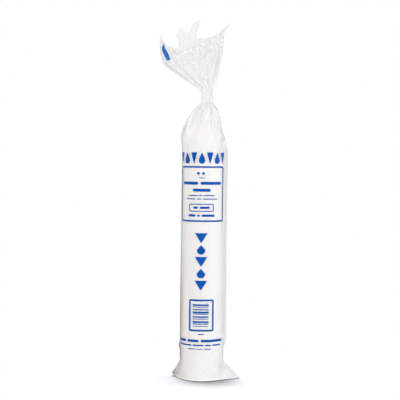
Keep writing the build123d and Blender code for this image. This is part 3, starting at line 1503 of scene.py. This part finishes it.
@dataclass
class Studio:
    """White floor and surround, soft lamps and the photograph's camera."""

    distance: float = 1900.0
    eye_height: float = 365.0
    frame_width: float = 660.8
    frame_middle: float = 292.9
    aside: float = -5.9
    roll: float = -0.6
    sensor: float = 36.0
    floor_radius: float = 1500.0
    floor_sides: int = 64
    fade_start: float = 140.0
    fade_end: float = 340.0
    bounce_tone: str = "#505050"
    seen_tone: str = "#949496"
    glow: float = 0.03
    ambient: float = 0.32
    aim_height: float = 250.0
    clear_bounces: int = 48

    def camera(self) -> None:
        """Set a level camera that is rolled a little and shifted down to the photograph's frame."""
        data = bpy.data.cameras.new("camera")
        data.sensor_width = self.sensor
        data.lens = self.sensor * self.distance / self.frame_width
        data.shift_y = (self.frame_middle - self.eye_height) / self.frame_width
        data.clip_end = 20.0
        eye = bpy.data.objects.new("camera", data)
        eye.location = (self.aside * METRES, -self.distance * METRES, self.eye_height * METRES)
        eye.rotation_euler = (math.pi / 2, math.radians(self.roll), 0)
        bpy.context.scene.collection.objects.link(eye)
        bpy.context.scene.camera = eye

    def seen(self, tree: Tree) -> Socket:
        """Give 1 for rays from the camera, off a gloss or through clear matter, and 0 for the rest.

        Args:
            tree: The node tree that gets the nodes.

        Returns:
            The socket that gives it.
        """
        path = add_node(tree, "LightPath").outputs
        either = maths(tree, "MAXIMUM", path["Is Camera Ray"], path["Is Glossy Ray"])
        return maths(tree, "MAXIMUM", either, path["Is Transmission Ray"])

    def world(self) -> None:
        """Make a surround that is seen as white and lights as a dimmer, even sky."""
        world = bpy.data.worlds.new("studio")
        world.use_nodes = True
        tree = world.node_tree
        tree.nodes.clear()
        strength = spread(tree, self.seen(tree), self.ambient, 1.0)
        sockets = {"Color": (1, 1, 1, 1), "Strength": strength}
        light = add_node(tree, "Background", sockets)
        add_node(tree, "OutputWorld", {"Surface": light.outputs[0]})
        bpy.context.scene.world = world

    def floor(self) -> None:
        """Make a white floor that keeps the shadow near the object and fades to plain white.

        It throws back less light than it is seen to, because its own lamp is strong.
        """
        material, tree = empty_material("white_floor")
        place = add_node(tree, "TexCoord").outputs["Object"]
        away = add_node(tree, "VectorMath", {0: place}, operation="LENGTH")
        sockets = {
            "Value": away.outputs["Value"],
            "From Min": self.fade_start * METRES,
            "From Max": self.fade_end * METRES,
        }
        fade = add_node(tree, "MapRange", sockets, interpolation_type="SMOOTHSTEP")
        seen = self.seen(tree)
        tone = blend(tree, seen, self.bounce_tone, self.seen_tone)
        matt = add_node(tree, "BsdfDiffuse", {"Color": tone})
        lit = add_node(tree, "Emission", {"Strength": spread(tree, seen, 0.0, self.glow)})
        near = add_node(tree, "AddShader", {0: matt.outputs[0], 1: lit.outputs[0]})
        plain = add_node(tree, "Emission", {"Strength": 1.0})
        whole = mixed(tree, maths(tree, "MULTIPLY", fade.outputs[0], seen), near, plain)
        add_node(tree, "OutputMaterial", {"Surface": whole.outputs[0]})
        points = revolved(np.array([[1.0], [self.floor_radius]]), np.zeros(2), self.floor_sides)
        faces = grid_faces(2, self.floor_sides, True)[:, ::-1]
        floor = make_piece("floor", points, faces, material)
        bpy.data.collections.new("floor_only").objects.link(floor)

    def lamp(
        self, name: str, place: tuple, size: tuple, power: float, colour: str, use: LampUse
    ) -> None:
        """Hang one soft lamp that points at the middle of the column.

        Args:
            name: The lamp's name.
            place: Where it hangs.
            size: Width and height of its panel.
            power: Watts.
            colour: Its light.
            use: Whether it lights everything, shows in gloss alone or lights the floor alone.
        """
        data = bpy.data.lights.new(name, "AREA")
        data.shape = "RECTANGLE"
        data.size, data.size_y = (side * METRES for side in size)
        data.energy = power
        data.color = linear(colour)[:3]
        lamp = bpy.data.objects.new(name, data)
        spot = np.array(place) * METRES
        lamp.location = spot
        aim = np.array((0, 0, self.aim_height * METRES)) - spot
        flat = math.hypot(aim[0], aim[1])
        lamp.rotation_euler = (math.atan2(flat, -aim[2]), 0, math.atan2(-aim[0], aim[1]))
        lamp.visible_camera = False
        lamp.visible_glossy = use is LampUse.GLINT
        lamp.visible_diffuse = use is not LampUse.GLINT
        if use is LampUse.FLOOR:
            lamp.light_linking.receiver_collection = bpy.data.collections["floor_only"]
        bpy.context.scene.collection.objects.link(lamp)

    def build(self) -> None:
        """Set up the camera, the surround, the floor and the lamps."""
        self.camera()
        self.world()
        self.floor()
        white, light, glint = "#FFFFFF", LampUse.LIGHT, LampUse.GLINT
        self.lamp("key", (100, -1900, 300), (900, 500), 18.6, white, light)
        self.lamp("left", (-1520, -490, 420), (700, 700), 11.6, "#FFF7EF", light)
        self.lamp("right", (1390, -800, 420), (700, 700), 12.6, white, light)
        self.lamp("back", (-100, 1900, 300), (900, 500), 25.0, white, light)
        self.lamp("overhead", (-75, 220, 3000), (900, 900), 25.0, white, light)
        self.lamp("floor_light", (-75, 152, 3000), (240, 376), 225.0, white, LampUse.FLOOR)
        self.lamp("glint_left", (-1590, -470, 1300), (110, 1000), 3.4, white, glint)
        self.lamp("glint_right", (1240, -1040, 1350), (110, 700), 0.9, white, glint)
        self.lamp("rim_left", (-1270, 1290, 1250), (300, 600), 1.4, white, glint)
        self.lamp("rim_right", (1440, 1290, 900), (300, 500), 1.2, white, glint)
        scene = bpy.context.scene
        scene.view_settings.view_transform = "Standard"
        scene.cycles.transparent_max_bounces = self.clear_bounces


def dress(piece: Piece, slot: str, *nodes: str) -> None:
    """Fix a piece to the part, and hide the nodes that it stands for.

    Args:
        piece: The piece.
        slot: Not used.
        nodes: Names of the nodes that it stands for.
    """
    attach(piece, BODY)
    if nodes:
        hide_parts(*nodes)
    log.info("%s: %d faces", piece.name, len(piece.data.polygons))


def main() -> None:
    """Build the camera, the cups, the film and its print, in that order."""
    logging.basicConfig(level=logging.INFO, format="%(name)s %(message)s")
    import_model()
    nest_low, nest_high = (np.array(c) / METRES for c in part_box("nested_cups"))
    cup_low, cup_high = (np.array(c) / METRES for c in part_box("top_cup"))
    film_low, film_high = (np.array(c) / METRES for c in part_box("film_bag"))

    Studio().build()

    paper = PaperFinish().build()
    cups = CupColumn(rim_radius=nest_high[0], foot=nest_low[2], top_rim=cup_low[2], tip=cup_high[2])
    dress(cups.build_nest(paper), PAPER_SLOT, "nested_cups")
    dress(cups.build_top(paper), PAPER_SLOT, "top_cup")

    bag = FilmBag(
        rim_radius=nest_high[0],
        top_rim=cup_low[2],
        tip=cup_high[2],
        ruff_left=film_low[0],
        top=film_high[2],
        right_ear_tip=film_high[0],
    )
    dress(bag.build(FilmFinish().build()), FILM_SLOT, "film_bag")
    ink = InkFinish().build()
    thin_ink = InkFinish("flexo_ink_thin", "#0A52A8", "#2A7CCB").build()
    for piece in Print(bag).build(ink, thin_ink):
        dress(piece, FILM_SLOT)


if __name__ == "__main__":
    main()
